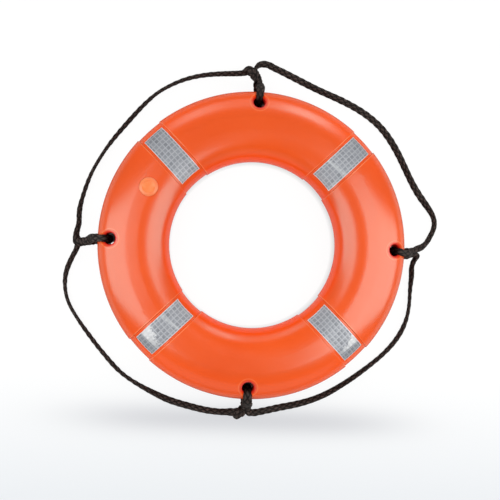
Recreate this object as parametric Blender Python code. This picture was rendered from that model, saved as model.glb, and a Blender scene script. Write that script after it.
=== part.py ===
"""Life ring: a hollow moulded ring with a foam filling, reflective tapes and a grab line.

The ring lies flat on its back face. Its axis is +Z and its front face looks up. The origin is
the middle of the ring, at the level of the back face. Lengths are in metres.

The form that takes the most skill is the moulded shell with its rope holes and tape recesses,
and the grab line's hitch: one unbroken tube that comes in along a twisted neck, goes through
the rope hole and round the rim, and leaves along the same neck.
"""

import math

import bmesh
import bpy
import numpy as np
from mathutils import Matrix, Vector

MM = 0.001

# Ring
RING_OUTER_DIAMETER = 0.610
RING_BORE_DIAMETER = 0.330
RING_DEPTH = 0.096
FACE_LAND_WIDTH = 0.027
SECTION_POWER = 2.2
SHELL_WALL = 0.003
FIT_GAP = 0.0003

# Recess bands and tapes
BAND_COUNT = 4
FIRST_BAND_ANGLE = math.radians(45)
RECESS_WIDTH = 0.056
RECESS_DEPTH = 0.002
RECESS_STEP_RUN = 0.0005
TAPE_WIDTH = 0.045
TAPE_LENGTH = 0.113
TAPE_THICKNESS = 0.0006

# Rope holes
HOLE_COUNT = 4
HOLE_RIM_DISTANCE = 0.027
HOLE_DIAMETER = 0.023
HOLE_LIP_RADIUS = 0.0055
HOLE_SKIRT = 0.004
HOLE_SKIRT_RISE = 0.0005

# Filler opening and its plug
FILLER_INSET = 0.0042
FILLER_ANGLE = math.radians(153.8)
FILLER_DIAMETER = 0.022
FILLER_BOSS_WALL = 0.0055
FILLER_BOSS_MARGIN = 0.003
SEAT_DEPTH = 0.0014
PLUG_FLANGE_DIAMETER = 0.0365
PLUG_PANEL_DIAMETER = 0.0240
PLUG_FLANGE_THICKNESS = 0.0026
PLUG_CROWN = 0.0009
PLUG_PANEL_DISH = 0.0010
PLUG_WALL = 0.0022
PLUG_BEAD = 0.0006
PLUG_TIP_TAPER = 0.0008
PLUG_SHANK_LENGTH = 0.0125

# Grab line
ROPE_DIAMETER = 0.0105
TAIL_DIAMETER = 0.0080
ROPE_FLOOR_GAP = 0.0001
RIM_GAP = 0.0014
NECK_START = 0.0175
NECK_START_HEIGHT = 0.0305
NECK_GAP = 0.0021
NECK_STEP = 4.2
NECK_ENTRY = [(0.0148, 0.0, 0.0415), (0.0112, 0.0, 0.0500), (0.0082, 0.0, 0.0595), (0.0042, 0.0, 0.0690)]
NECK_RETURN = [(0.0005, 0.0, 0.0174), (0.0085, 0.0, 0.0218)]
LEAST_SELF_GAP = 0.0004

# Mesh fineness
COLUMNS_BETWEEN_BANDS = 12
CAVITY_COLUMNS_BETWEEN_BANDS = 9
STATIONS_PER_ARC = 3
CAVITY_STATIONS_PER_ARC = 2
HOLE_SIDES = 20
LIP_STEPS = 3
PLUG_SIDES = 28
SPAN_POINT_SPACING = 0.028
SPAN_END_STEP = 0.002
HITCH_POINT_SPACING = 0.0052
TAIL_POINT_SPACING = 0.0045
CURVE_STEPS = 24
ROPE_BEVEL_RESOLUTION = 2

# Derived from the sizes above
RING_RADIUS = RING_OUTER_DIAMETER / 2
SECTION_CENTRE = (RING_OUTER_DIAMETER + RING_BORE_DIAMETER) / 4
SECTION_HALF_WIDTH = (RING_OUTER_DIAMETER - RING_BORE_DIAMETER) / 4
MID_HEIGHT = RING_DEPTH / 2
HOLE_CIRCLE = RING_RADIUS - HOLE_RIM_DISTANCE
HOLE_RADIUS = HOLE_DIAMETER / 2
FILLER_CIRCLE = SECTION_CENTRE - FILLER_INSET
FILLER_RADIUS = FILLER_DIAMETER / 2
SEAT_HEIGHT = RING_DEPTH - SEAT_DEPTH
SEAT_RADIUS = PLUG_FLANGE_DIAMETER / 2 + FIT_GAP
BOSS_RADIUS = SEAT_RADIUS + FILLER_BOSS_MARGIN
BOSS_HEIGHT = RING_DEPTH - FILLER_BOSS_WALL
ROPE_RADIUS = ROPE_DIAMETER / 2
ROPE_REST_HEIGHT = ROPE_RADIUS + ROPE_FLOOR_GAP
LAND_SHARE = (FACE_LAND_WIDTH / 2 / SECTION_HALF_WIDTH) ** SECTION_POWER
SECTION_HALF_DEPTH = MID_HEIGHT / (1 - LAND_SHARE) ** (1 / SECTION_POWER)
LAND_ANGLE = math.acos((FACE_LAND_WIDTH / 2 / SECTION_HALF_WIDTH) ** (SECTION_POWER / 2))


def clear_scene():
    for item in list(bpy.data.objects):
        bpy.data.objects.remove(item, do_unlink=True)


def material(name, colour, roughness, metallic=0.0):
    made = bpy.data.materials.new(name)
    made.use_nodes = True
    shader = made.node_tree.nodes["Principled BSDF"]
    shader.inputs["Base Color"].default_value = (*colour, 1.0)
    shader.inputs["Roughness"].default_value = roughness
    shader.inputs["Metallic"].default_value = metallic
    return made


def add_object(name, data, finish=None):
    item = bpy.data.objects.new(name, data)
    bpy.context.scene.collection.objects.link(item)
    if finish is not None:
        data.materials.append(finish)
    return item


def mesh_from_bmesh(name, shape):
    bmesh.ops.recalc_face_normals(shape, faces=shape.faces)
    mesh = bpy.data.meshes.new(name)
    shape.to_mesh(mesh)
    shape.free()
    mesh.shade_smooth()
    mesh.set_sharp_from_angle(angle=math.radians(35))
    return mesh


def cutter(name, mesh):
    item = add_object(name, mesh)
    item.hide_render = True
    item.display_type = 'WIRE'
    return item


def cut(item, tool):
    step = item.modifiers.new("Cut " + tool.name, 'BOOLEAN')
    step.operation = 'DIFFERENCE'
    step.solver = 'EXACT'
    step.object = tool


# Ring section

def section_point(turn, inset):
    """Radius and height at a section angle, 0 at the rim and a quarter turn at the front face."""
    along, up = math.cos(turn), math.sin(turn)
    x = SECTION_HALF_WIDTH * math.copysign(abs(along) ** (2 / SECTION_POWER), along)
    z = SECTION_HALF_DEPTH * math.copysign(abs(up) ** (2 / SECTION_POWER), up)
    slope_x = math.copysign(abs(x / SECTION_HALF_WIDTH) ** (SECTION_POWER - 1), x) / SECTION_HALF_WIDTH
    slope_z = math.copysign(abs(z / SECTION_HALF_DEPTH) ** (SECTION_POWER - 1), z) / SECTION_HALF_DEPTH
    length = math.hypot(slope_x, slope_z)
    x -= inset * slope_x / length
    z -= inset * slope_z / length
    flat = MID_HEIGHT - inset
    return SECTION_CENTRE + x, MID_HEIGHT + max(-flat, min(flat, z))


def tape_end_angle():
    """Section angle at which the distance along the face from its middle is half the tape's length."""
    travelled = FACE_LAND_WIDTH / 2
    turn, step = LAND_ANGLE, math.radians(0.05)
    last = section_point(turn, RECESS_DEPTH)
    while travelled < TAPE_LENGTH / 2 and turn > 0:
        turn -= step
        here = section_point(turn, RECESS_DEPTH)
        travelled += math.dist(last, here)
        last = here
    return turn


TAPE_END = tape_end_angle()


def between(first, last, count):
    return [first + (last - first) * k / count for k in range(count + 1)]


def section_stations(per_arc):
    """Section angles all the way round, with one at each edge of the face lands and each tape end."""
    quarter = between(0, TAPE_END, per_arc) + between(TAPE_END, LAND_ANGLE, per_arc)[1:]
    front = quarter + [math.pi - turn for turn in reversed(quarter)]
    return front + [-turn for turn in reversed(front[1:-1])]


def face_height(x, y):
    """Height of the front face above a point of the floor plane."""
    out = min(abs(math.hypot(x, y) - SECTION_CENTRE) / SECTION_HALF_WIDTH, 1.0)
    rise = SECTION_HALF_DEPTH * (1 - out ** SECTION_POWER) ** (1 / SECTION_POWER)
    return MID_HEIGHT + min(rise, MID_HEIGHT)


# Ring bodies

def ring_columns(inset, band_edge, between_bands, inside_offsets):
    """Columns round the ring, each a function that gives the angle at a radius, with its inset."""
    band_step = 2 * math.pi / BAND_COUNT
    recessed = inset + RECESS_DEPTH
    columns = []
    for band in range(BAND_COUNT):
        centre = FIRST_BAND_ANGLE + band * band_step
        for offset in inside_offsets:
            columns.append((lambda r, c=centre, o=offset: c + math.asin(o / r), recessed))
        for k in range(between_bands + 1):
            share = k / between_bands

            def angle(r, c=centre, s=share):
                edge = math.asin(band_edge / r)
                return c + edge + s * (band_step - 2 * edge)

            columns.append((angle, inset))
    return columns


def ring_bmesh(inset, edge_margin, between_bands, per_arc, edge_offsets):
    """A ring body inset from the shell's surface, with its recess bands."""
    edge = RECESS_WIDTH / 2 + edge_margin
    floor_edge = edge - RECESS_STEP_RUN
    offsets = [-floor_edge, *[-o for o in edge_offsets], 0.0, *reversed(edge_offsets), floor_edge]
    stations = section_stations(per_arc)
    shape = bmesh.new()
    rows = []
    for angle, depth in ring_columns(inset, edge, between_bands, offsets):
        row = []
        for turn in stations:
            radius, height = section_point(turn, depth)
            around = angle(radius)
            row.append(shape.verts.new((radius * math.cos(around), radius * math.sin(around), height)))
        rows.append(row)
    for row, following in zip(rows, rows[1:] + rows[:1]):
        for k in range(len(stations)):
            after = (k + 1) % len(stations)
            shape.faces.new((row[k], row[after], following[after], following[k]))
    return shape


def cylinder(shape, radius, low, high, centre, sides):
    made = bmesh.ops.create_cone(shape, cap_ends=True, segments=sides, radius1=radius, radius2=radius,
                                 depth=high - low)
    bmesh.ops.translate(shape, verts=made["verts"], vec=(centre[0], centre[1], (low + high) / 2))


def hole_angles():
    return [math.tau * k / HOLE_COUNT for k in range(HOLE_COUNT)]


def tunnel_walls(radius):
    """Solid wall round each rope hole, run out to the rim."""
    shape = bmesh.new()
    reach = RING_RADIUS - HOLE_CIRCLE + 0.02
    bow = between(math.pi / 2, 3 * math.pi / 2, HOLE_SIDES // 2)
    outline = [(radius * math.cos(a), radius * math.sin(a)) for a in bow]
    outline += [(reach, -radius), (reach, radius)]
    for angle in hole_angles():
        place = Matrix.Rotation(angle, 4, 'Z') @ Matrix.Translation((HOLE_CIRCLE, 0, 0))
        low = [shape.verts.new(place @ Vector((x, y, -0.01))) for x, y in outline]
        high = [shape.verts.new(place @ Vector((x, y, RING_DEPTH + 0.01))) for x, y in outline]
        shape.faces.new(low)
        shape.faces.new(high)
        for k in range(len(outline)):
            after = (k + 1) % len(outline)
            shape.faces.new((low[k], low[after], high[after], high[k]))
    return mesh_from_bmesh("tunnel_walls", shape)


def lip_profile(direction):
    """Lip arc from the bore wall to the face, in one upright plane through the hole's axis."""
    dx, dy = math.cos(direction), math.sin(direction)

    def surface(s):
        return face_height(HOLE_CIRCLE + s * dx, s * dy)

    reach = [HOLE_RADIUS * 0.6 + 0.0002 * k for k in range(110)]
    points = [(s, surface(s)) for s in reach if math.hypot(HOLE_CIRCLE + s * dx, s * dy) < RING_RADIUS]
    centre_s = HOLE_RADIUS + HOLE_LIP_RADIUS
    low, high = MID_HEIGHT, RING_DEPTH
    for _ in range(40):
        middle = (low + high) / 2
        nearest = min(math.hypot(s - centre_s, z - middle) for s, z in points)
        if nearest > HOLE_LIP_RADIUS:
            low = middle
        else:
            high = middle
    touch = min(points, key=lambda p: math.hypot(p[0] - centre_s, p[1] - low))
    end = math.atan2(touch[1] - low, touch[0] - centre_s)
    arc = [(centre_s + HOLE_LIP_RADIUS * math.cos(a), low + HOLE_LIP_RADIUS * math.sin(a))
           for a in between(math.pi, end, LIP_STEPS)]
    run = (math.sin(end), -math.cos(end))
    skirt = (arc[-1][0] + HOLE_SKIRT * run[0] + HOLE_SKIRT_RISE * math.cos(end),
             arc[-1][1] + HOLE_SKIRT * run[1] + HOLE_SKIRT_RISE * math.sin(end))
    return arc + [skirt, (skirt[0], RING_DEPTH + 0.01)]


def rope_bores():
    """The rope holes with their rounded lips at both faces."""
    shape = bmesh.new()
    directions = [math.tau * k / HOLE_SIDES for k in range(HOLE_SIDES)]
    profiles = [lip_profile(direction) for direction in directions]
    stack = [[(s, z) for s, z in reversed(profile)] for profile in profiles]
    stack = [upper + [(s, RING_DEPTH - z) for s, z in reversed(upper)] for upper in stack]
    for angle in hole_angles():
        place = Matrix.Rotation(angle, 4, 'Z') @ Matrix.Translation((HOLE_CIRCLE, 0, 0))
        rings = []
        for level in range(len(stack[0])):
            ring = []
            for direction, profile in zip(directions, stack):
                s, z = profile[level]
                ring.append(shape.verts.new(place @ Vector((s * math.cos(direction), s * math.sin(direction), z))))
            rings.append(ring)
        shape.faces.new(rings[0])
        shape.faces.new(rings[-1])
        for ring, following in zip(rings, rings[1:]):
            for k in range(HOLE_SIDES):
                after = (k + 1) % HOLE_SIDES
                shape.faces.new((ring[k], ring[after], following[after], following[k]))
    return mesh_from_bmesh("rope_bores", shape)


def filler_centre():
    return FILLER_CIRCLE * math.cos(FILLER_ANGLE), FILLER_CIRCLE * math.sin(FILLER_ANGLE)


def round_cutter(name, radius, low, high):
    shape = bmesh.new()
    cylinder(shape, radius, low, high, filler_centre(), PLUG_SIDES)
    return cutter(name, mesh_from_bmesh(name, shape))


def build_shell(finish):
    outer = ring_bmesh(0.0, 0.0, COLUMNS_BETWEEN_BANDS, STATIONS_PER_ARC, [TAPE_WIDTH / 2])
    shell = add_object("ring_shell", mesh_from_bmesh("ring_shell", outer), finish)
    cavity_shape = ring_bmesh(SHELL_WALL, SHELL_WALL, CAVITY_COLUMNS_BETWEEN_BANDS, CAVITY_STATIONS_PER_ARC, [])
    cavity = cutter("shell_cavity", mesh_from_bmesh("shell_cavity", cavity_shape))
    cut(cavity, cutter("tunnel_walls", tunnel_walls(HOLE_RADIUS + SHELL_WALL)))
    cut(cavity, round_cutter("filler_boss", BOSS_RADIUS, BOSS_HEIGHT, RING_DEPTH + 0.01))
    cut(shell, cavity)
    cut(shell, cutter("rope_bores", rope_bores()))
    cut(shell, round_cutter("filler_seat", SEAT_RADIUS, SEAT_HEIGHT, RING_DEPTH + 0.01))
    cut(shell, round_cutter("filler_bore", FILLER_RADIUS, BOSS_HEIGHT - 0.002, RING_DEPTH + 0.01))


def build_foam(finish):
    inset = SHELL_WALL + FIT_GAP
    body = ring_bmesh(inset, inset, CAVITY_COLUMNS_BETWEEN_BANDS, CAVITY_STATIONS_PER_ARC, [])
    foam = add_object("foam_core", mesh_from_bmesh("foam_core", body), finish)
    cut(foam, cutter("tunnel_clearance", tunnel_walls(HOLE_RADIUS + inset)))
    cut(foam, round_cutter("boss_clearance", BOSS_RADIUS + FIT_GAP, BOSS_HEIGHT - FIT_GAP, RING_DEPTH + 0.01))
    pocket_floor = SEAT_HEIGHT - PLUG_SHANK_LENGTH - FIT_GAP
    cut(foam, round_cutter("plug_pocket", FILLER_RADIUS + PLUG_BEAD + FIT_GAP, pocket_floor, RING_DEPTH))


def build_plug(finish):
    """Push-in filler plug: a domed flange with a dished panel, on a hollow shank with a snap bead."""
    flange = PLUG_FLANGE_DIAMETER / 2
    panel = PLUG_PANEL_DIAMETER / 2
    shank = FILLER_RADIUS - FIT_GAP
    under = SEAT_HEIGHT + FIT_GAP
    top = under + PLUG_FLANGE_THICKNESS
    crown = top + PLUG_CROWN
    wall_foot = BOSS_HEIGHT - FIT_GAP
    tip = SEAT_HEIGHT - PLUG_SHANK_LENGTH
    inside = shank - PLUG_WALL
    profile = [(0.0, crown - PLUG_PANEL_DISH), (panel * 0.8, crown - PLUG_PANEL_DISH),
               (panel * 0.95, crown - PLUG_PANEL_DISH * 0.4), (panel, crown), (panel * 1.1, crown),
               (panel * 1.3, top), (flange - 0.0007, under + PLUG_FLANGE_THICKNESS * 0.7),
               (flange, under + PLUG_FLANGE_THICKNESS * 0.3), (flange, under), (shank, under),
               (shank, wall_foot), (shank + PLUG_BEAD, wall_foot - PLUG_BEAD),
               (shank, wall_foot - 2.5 * PLUG_BEAD), (shank - PLUG_TIP_TAPER, tip),
               (inside - PLUG_TIP_TAPER, tip), (inside, wall_foot), (inside * 0.7, under), (0.0, under)]
    shape = bmesh.new()
    corners = [shape.verts.new((radius, 0, height)) for radius, height in profile]
    edges = [shape.edges.new(pair) for pair in zip(corners, corners[1:])]
    bmesh.ops.spin(shape, geom=corners + edges, cent=(0, 0, 0), axis=(0, 0, 1), angle=math.tau,
                   steps=PLUG_SIDES, use_merge=True)
    bmesh.ops.remove_doubles(shape, verts=shape.verts, dist=1e-6)
    plug = add_object("filler_plug", mesh_from_bmesh("filler_plug", shape), finish)
    plug.location = (*filler_centre(), 0)


def tape_mesh(name, facing):
    """A tape laid on the recess floor, on the front face (facing 1) or the back face (facing -1)."""
    per_arc = between(TAPE_END, LAND_ANGLE, STATIONS_PER_ARC)
    turns = per_arc + [math.pi - turn for turn in reversed(per_arc)]
    offsets = (-TAPE_WIDTH / 2, 0.0, TAPE_WIDTH / 2)
    shape = bmesh.new()
    layers = []
    for depth in (RECESS_DEPTH - FIT_GAP, RECESS_DEPTH - FIT_GAP - TAPE_THICKNESS):
        layer = []
        for turn in turns:
            radius, height = section_point(facing * turn, depth)
            around = [math.asin(offset / radius) for offset in offsets]
            layer.append([shape.verts.new((radius * math.cos(a), radius * math.sin(a), height)) for a in around])
        layers.append(layer)
    low, high = layers
    last_row, last_column = len(turns) - 1, len(offsets) - 1
    for i in range(last_row):
        for k in range(last_column):
            for layer in layers:
                shape.faces.new((layer[i][k], layer[i + 1][k], layer[i + 1][k + 1], layer[i][k + 1]))
        for k in (0, last_column):
            shape.faces.new((low[i][k], low[i + 1][k], high[i + 1][k], high[i][k]))
    for k in range(last_column):
        for i in (0, last_row):
            shape.faces.new((low[i][k], low[i][k + 1], high[i][k + 1], high[i][k]))
    return mesh_from_bmesh(name, shape)


def build_tapes(finish):
    places = ("upper_right", "upper_left", "lower_left", "lower_right")
    for side, facing in (("front", 1), ("back", -1)):
        mesh = tape_mesh("tape_" + side, facing)
        mesh.materials.append(finish)
        for k, place in enumerate(places):
            tape = add_object("reflective_tape_%s_%s" % (side, place), mesh)
            tape.rotation_euler.z = FIRST_BAND_ANGLE + k * math.tau / BAND_COUNT


# Grab line routes, in millimetres. A hitch's points are out from the rim, along the rim
# counterclockwise, and up from the floor. A span's points are x, y and up, and it lies on the floor.

REST = ROPE_REST_HEIGHT / MM

HITCHES = {
    "top": {
        "angle": 90, "neck": 25, "slope": 20, "twist": 110, "front_leg": "in",
        "in": [(61, -30, 7), (65, -22.5, 7.5), (67, -14, 8.5), (66, -5.5, 9.5), (62, 1.5, 10.5),
               (56.5, 3.8, 11.5), (51, 1.8, 13), (46, -2, 16)],
        "out": [(45.7, 8, 24.6), (48.6, 12, 24.8), (48.8, 18, 23.3), (46, 24.5, 20.5), (43.5, 31, 17.5)]},
    "left": {
        "angle": 180, "neck": 24, "slope": 20, "twist": 180, "front_leg": "out",
        "in": [(41.5, -32, 17), (42.5, -25, 20), (44.5, -18, 23), (45.5, -11, 25), (43.5, -4.4, 26)],
        "out": [(40.5, 3, 16.5), (43.5, 9, 15.5), (44.5, 16, 14.5), (46.5, 24, 13.5), (50.5, 32, 12)]},
    "bottom": {
        "angle": 270, "neck": 13, "slope": 20, "twist": -90, "front_leg": "out",
        "in": [(33.5, -52, 13.6), (33.7, -45, 13.6), (33.9, -38, 13.6), (34.1, -31, 13.8),
               (34.9, -24.5, 15.5), (36, -19, 18.6), (35.4, -13.4, 22.2), (33.2, -9, 24.9)],
        "out": [(31.4, 8.3, 22.5), (33.8, 13.5, 18.3), (35, 20.5, 15), (35, 28, 12.5)]},
    "right": {
        "angle": 0, "neck": 14, "slope": 20, "twist": -90, "front_leg": "out",
        "in": [(29.5, -36, 15.5), (32, -29.5, 18), (34.3, -23.5, 20.3), (35.8, -18, 22.3),
               (35.8, -12.8, 24), (33.9, -8.6, 25)],
        "out": [(35, 6.8, 22.3), (40.5, 8.8, 19), (46.5, 12, 16.5), (52.5, 17, 14.3), (58.5, 23.5, 12)]},
}

TAIL_HITCH = "bottom"
TAIL = [(31.5, -10, 8.5), (27, -12, 13), (23.8, -15, 19.3), (26.5, -18, 28), (35, -20.8, 31),
        (43.3, -23, 25.8), (46.4, -25, 17.5), (47, -26.5, 11.5), (48.5, -28.5, 7.5), (51, -31, 5)]

SPANS = {
    "top_left": ("top", "left", [
        (-54, 348, 12.5), (-80, 347, 7), (-106, 344, REST), (-132, 338, REST), (-157, 329, REST),
        (-180, 317, REST), (-202, 303, REST), (-221, 285, REST), (-239, 265, REST), (-255, 245, REST),
        (-271, 225, REST), (-287, 204, REST), (-302, 182, REST), (-315, 159, REST), (-327, 136, REST),
        (-336, 111, REST), (-343, 86, REST), (-348, 63, 7.5), (-348.5, 46, 12)]),
    "bottom_left": ("left", "bottom", [
        (-362, -46, 9), (-368.5, -62, 6), (-372, -82, REST), (-370, -108, REST), (-362, -132, REST),
        (-348, -154, REST), (-333, -175, REST), (-317, -195, REST), (-301, -215, REST),
        (-284, -234, REST), (-267, -253, REST), (-248, -270, REST), (-226, -284, REST),
        (-204, -296, REST), (-181, -307, REST), (-157, -318, REST), (-133, -325, REST),
        (-107, -331, 6.5), (-79, -336.5, 11)]),
    "bottom_right": ("bottom", "right", [
        (50, -332.5, 8), (73, -327, REST), (98, -322, REST), (123, -315, REST), (147, -306, REST),
        (170, -295, REST), (192, -281, REST), (213, -267, REST), (233, -252, REST), (253, -236, REST),
        (273, -219, REST), (291, -201, REST), (307, -181, REST), (320, -158, REST), (328, -134, REST),
        (331.5, -109, REST), (331.5, -84, REST), (332, -65, 7.5), (333, -50, 11.5)]),
    "top_right": ("right", "top", [
        (369, 34, 8.5), (375, 44.5, 6), (378.5, 57, REST), (377, 70, REST), (371.5, 82.5, REST),
        (357, 102, REST), (341, 123, REST), (327, 145, REST), (315, 168, REST), (303, 192, REST),
        (290, 215, REST), (275, 237, REST), (258, 257, REST), (237, 274, REST), (215, 288, REST),
        (191, 300, REST), (167, 310, REST), (142, 319, REST), (117, 329, REST), (93, 340, REST),
        (70, 350.5, REST), (48, 360, 6)]),
}


def neck_leg(hitch, phase, share):
    """Point on one of the neck's two legs, which start one above the other and turn round each other."""
    slope = math.radians(hitch["slope"])
    turn = math.radians(90 + phase + hitch["twist"] * share)
    spacing = (ROPE_DIAMETER + NECK_GAP) / 2
    along = hitch["neck"] * MM * share
    out = NECK_START + along * math.cos(slope) + spacing * math.sin(turn) * math.sin(slope)
    up = NECK_START_HEIGHT - along * math.sin(slope) + spacing * math.sin(turn) * math.cos(slope)
    return out, spacing * math.cos(turn), up


def rim_route():
    """From the neck over the front lip, through the hole and out again over the back lip."""
    reach = RIM_GAP + ROPE_RADIUS
    turn_radius = HOLE_LIP_RADIUS + reach
    centre_out = HOLE_CIRCLE + HOLE_RADIUS - RING_RADIUS + HOLE_LIP_RADIUS
    centre_up = lip_profile(0.0)[0][1]
    over = [(centre_out + turn_radius * math.cos(a), 0.0, centre_up + turn_radius * math.sin(a))
            for a in between(math.radians(45), math.pi, 6)]
    through = [(centre_out - turn_radius, 0.0, z) for z in between(centre_up, RING_DEPTH - centre_up, 4)[1:-1]]
    under = [(centre_out + turn_radius * math.cos(a), 0.0, RING_DEPTH - centre_up - turn_radius * math.sin(a))
             for a in between(math.pi, math.radians(80), 4)]
    return [*NECK_ENTRY, *over, *through, *under, *NECK_RETURN]


def hitch_points(hitch):
    """Route of a hitch in its own directions, from the span that comes in to the one that goes out."""
    shares = between(0, 1, round(hitch["neck"] / NECK_STEP))
    front_in = hitch["front_leg"] == "in"
    phase_in, phase_out = (0, 180) if front_in else (180, 0)
    rim = rim_route() if front_in else rim_route()[::-1]
    leg_in = [neck_leg(hitch, phase_in, share) for share in reversed(shares)]
    leg_out = [neck_leg(hitch, phase_out, share) for share in shares]
    ends = [[tuple(c * MM for c in point) for point in hitch[end]] for end in ("in", "out")]
    return ends[0] + leg_in + rim + leg_out + ends[1]


def to_world(points, angle):
    turn = Matrix.Rotation(math.radians(angle), 3, 'Z')
    return [turn @ Vector((RING_RADIUS + out, side, up)) for out, side, up in points]


def smooth_curve(points):
    """Dense points on a smooth curve drawn by the route's points."""
    dense = []
    for p0, p1, p2, p3 in zip(points, points[1:], points[2:], points[3:]):
        for j in range(CURVE_STEPS):
            t = j / CURVE_STEPS
            here = (p0 * (1 - t) ** 3 + p1 * (3 * t ** 3 - 6 * t ** 2 + 4)
                    + p2 * (1 + 3 * t + 3 * t ** 2 - 3 * t ** 3) + p3 * t ** 3) / 6
            here.z = max(here.z, ROPE_REST_HEIGHT)
            dense.append(here)
    return dense


def grab_line_stretches():
    """The grab line is one loop. This cuts it where each hitch meets its two spans."""
    points, marks = [], []
    for name, (first, _last, route) in SPANS.items():
        hitch = HITCHES[first]
        own = to_world(hitch_points(hitch), hitch["angle"])
        marks.append(("grab_line_hitch_" + first, len(points)))
        points += own
        marks.append(("grab_line_span_" + name, len(points) - 1))
        points += [Vector(c) * MM for c in route]
    dense = smooth_curve([points[-1], *points, points[0], points[1]])
    stretches = {}
    for (name, start), (_, end) in zip(marks, marks[1:] + [("", len(points))]):
        first, last = start * CURVE_STEPS, end * CURVE_STEPS
        stretches[name] = [dense[k % len(dense)] for k in range(first, last + 1)]
    return stretches


def arc_lengths(dense):
    totals = [0.0]
    for a, b in zip(dense, dense[1:]):
        totals.append(totals[-1] + (b - a).length)
    return totals


def at_distance(dense, totals, distance):
    k = int(np.searchsorted(totals, distance))
    k = max(1, min(k, len(totals) - 1))
    share = (distance - totals[k - 1]) / (totals[k] - totals[k - 1])
    return dense[k - 1].lerp(dense[k], share)


def resample(dense, spacing):
    """Points along a stretch, short of its ends by half the gap, with a short square step at each end."""
    totals = arc_lengths(dense)
    first, last = SPAN_END_STEP, totals[-1] - SPAN_END_STEP
    count = max(1, round((last - first) / spacing))
    middle = [at_distance(dense, totals, distance) for distance in between(first, last, count)[1:-1]]
    ahead = (dense[1] - dense[0]).normalized()
    behind = (dense[-2] - dense[-1]).normalized()
    start = [dense[0] + ahead * FIT_GAP / 2, dense[0] + ahead * SPAN_END_STEP]
    end = [dense[-1] + behind * SPAN_END_STEP, dense[-1] + behind * FIT_GAP / 2]
    return start + middle + end


def tube(name, points, diameter, finish):
    curve = bpy.data.curves.new(name, 'CURVE')
    curve.dimensions = '3D'
    curve.bevel_depth = diameter / 2
    curve.bevel_resolution = ROPE_BEVEL_RESOLUTION
    curve.use_fill_caps = True
    spline = curve.splines.new('POLY')
    spline.points.add(len(points) - 1)
    for slot, point in zip(spline.points, points):
        slot.co = (*point, 1.0)
    return add_object(name, curve, finish)


def least_gap(points, others, diameter, skip):
    """Least gap between two stretches of cord, or of one with itself beyond skip along it."""
    a, b = np.array(points), np.array(others)
    distance = np.linalg.norm(a[:, None] - b[None], axis=2)
    if skip:
        along = np.concatenate([[0], np.cumsum(np.linalg.norm(np.diff(a, axis=0), axis=1))])
        distance[np.abs(along[:, None] - along[None]) < skip] = np.inf
    return float(distance.min()) - diameter


def tail_route():
    """The tail of the line, which comes from under the hitch and turns over the line beside it."""
    points = to_world([tuple(c * MM for c in point) for point in TAIL], HITCHES[TAIL_HITCH]["angle"])
    before, after = 2 * points[0] - points[1], 2 * points[-1] - points[-2]
    return smooth_curve([before, *points, after])


def build_grab_line(finish):
    stretches = grab_line_stretches()
    for name, dense in stretches.items():
        is_hitch = "hitch" in name
        points = resample(dense, HITCH_POINT_SPACING if is_hitch else SPAN_POINT_SPACING)
        tube(name, points, ROPE_DIAMETER, finish)
        length = arc_lengths(dense)[-1]
        if is_hitch:
            gap = least_gap(dense[::4], dense[::4], ROPE_DIAMETER, 2.2 * ROPE_DIAMETER)
            print("%s: %.0f mm long, least gap to itself %.2f mm" % (name, length / MM, gap / MM))
            if gap < LEAST_SELF_GAP:
                print("%s comes closer to itself than it may" % name)
        else:
            print("%s: %.0f mm long" % (name, length / MM))
    tail = tail_route()
    tube("grab_line_tail", resample(tail, TAIL_POINT_SPACING), TAIL_DIAMETER, finish)
    clear = least_gap(tail, stretches["grab_line_hitch_" + TAIL_HITCH], (TAIL_DIAMETER + ROPE_DIAMETER) / 2, 0)
    print("grab_line_tail: %.0f mm long, least gap to the hitch %.2f mm" % (arc_lengths(tail)[-1] / MM, clear / MM))


def main():
    clear_scene()
    orange = material("orange_polyethylene", (0.86, 0.13, 0.022), 0.42)
    pale_orange = material("pale_orange_plug", (0.93, 0.27, 0.07), 0.35)
    foam = material("cream_foam", (0.82, 0.74, 0.52), 0.9)
    silver = material("silver_reflective_tape", (0.55, 0.57, 0.6), 0.35)
    black = material("black_braided_rope", (0.028, 0.024, 0.023), 0.8)
    build_shell(orange)
    build_foam(foam)
    build_plug(pale_orange)
    build_tapes(silver)
    build_grab_line(black)


main()
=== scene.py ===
from math import acos, asin, atan2, copysign, cos, exp, floor, hypot, pi, radians, sin, sqrt, tau

import bmesh
import bpy
import numpy as np
from mathutils import Matrix, Vector


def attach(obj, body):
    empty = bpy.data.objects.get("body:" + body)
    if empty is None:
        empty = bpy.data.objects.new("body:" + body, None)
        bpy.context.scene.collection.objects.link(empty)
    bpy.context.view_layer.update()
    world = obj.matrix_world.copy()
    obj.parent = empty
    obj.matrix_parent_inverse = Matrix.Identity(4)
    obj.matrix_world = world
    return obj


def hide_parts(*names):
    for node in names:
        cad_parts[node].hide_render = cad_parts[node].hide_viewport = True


# Looks of the life ring. The ring lies flat on its back face with its axis along +Z. Lengths are in
# metres unless a line says millimetres. The routes of the grab line repeat the frame's own.

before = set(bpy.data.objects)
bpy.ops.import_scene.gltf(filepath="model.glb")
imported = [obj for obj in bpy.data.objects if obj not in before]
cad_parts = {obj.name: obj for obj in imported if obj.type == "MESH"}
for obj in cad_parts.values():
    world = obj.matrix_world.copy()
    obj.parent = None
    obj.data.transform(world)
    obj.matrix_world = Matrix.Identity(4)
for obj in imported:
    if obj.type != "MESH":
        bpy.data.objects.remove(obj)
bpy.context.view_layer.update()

MM = 0.001

# Camera, fitted to the photograph
CAMERA_PLACE = Vector((-0.1075, -0.0450, 1.6443))
CAMERA_UP = Vector((-0.04162, 0.99895, 0.01908))
CAMERA_BACK = Vector((-0.06432, -0.02173, 0.99769))
CAMERA_SENSOR = 36.0
CAMERA_LENS = 57.97

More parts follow.
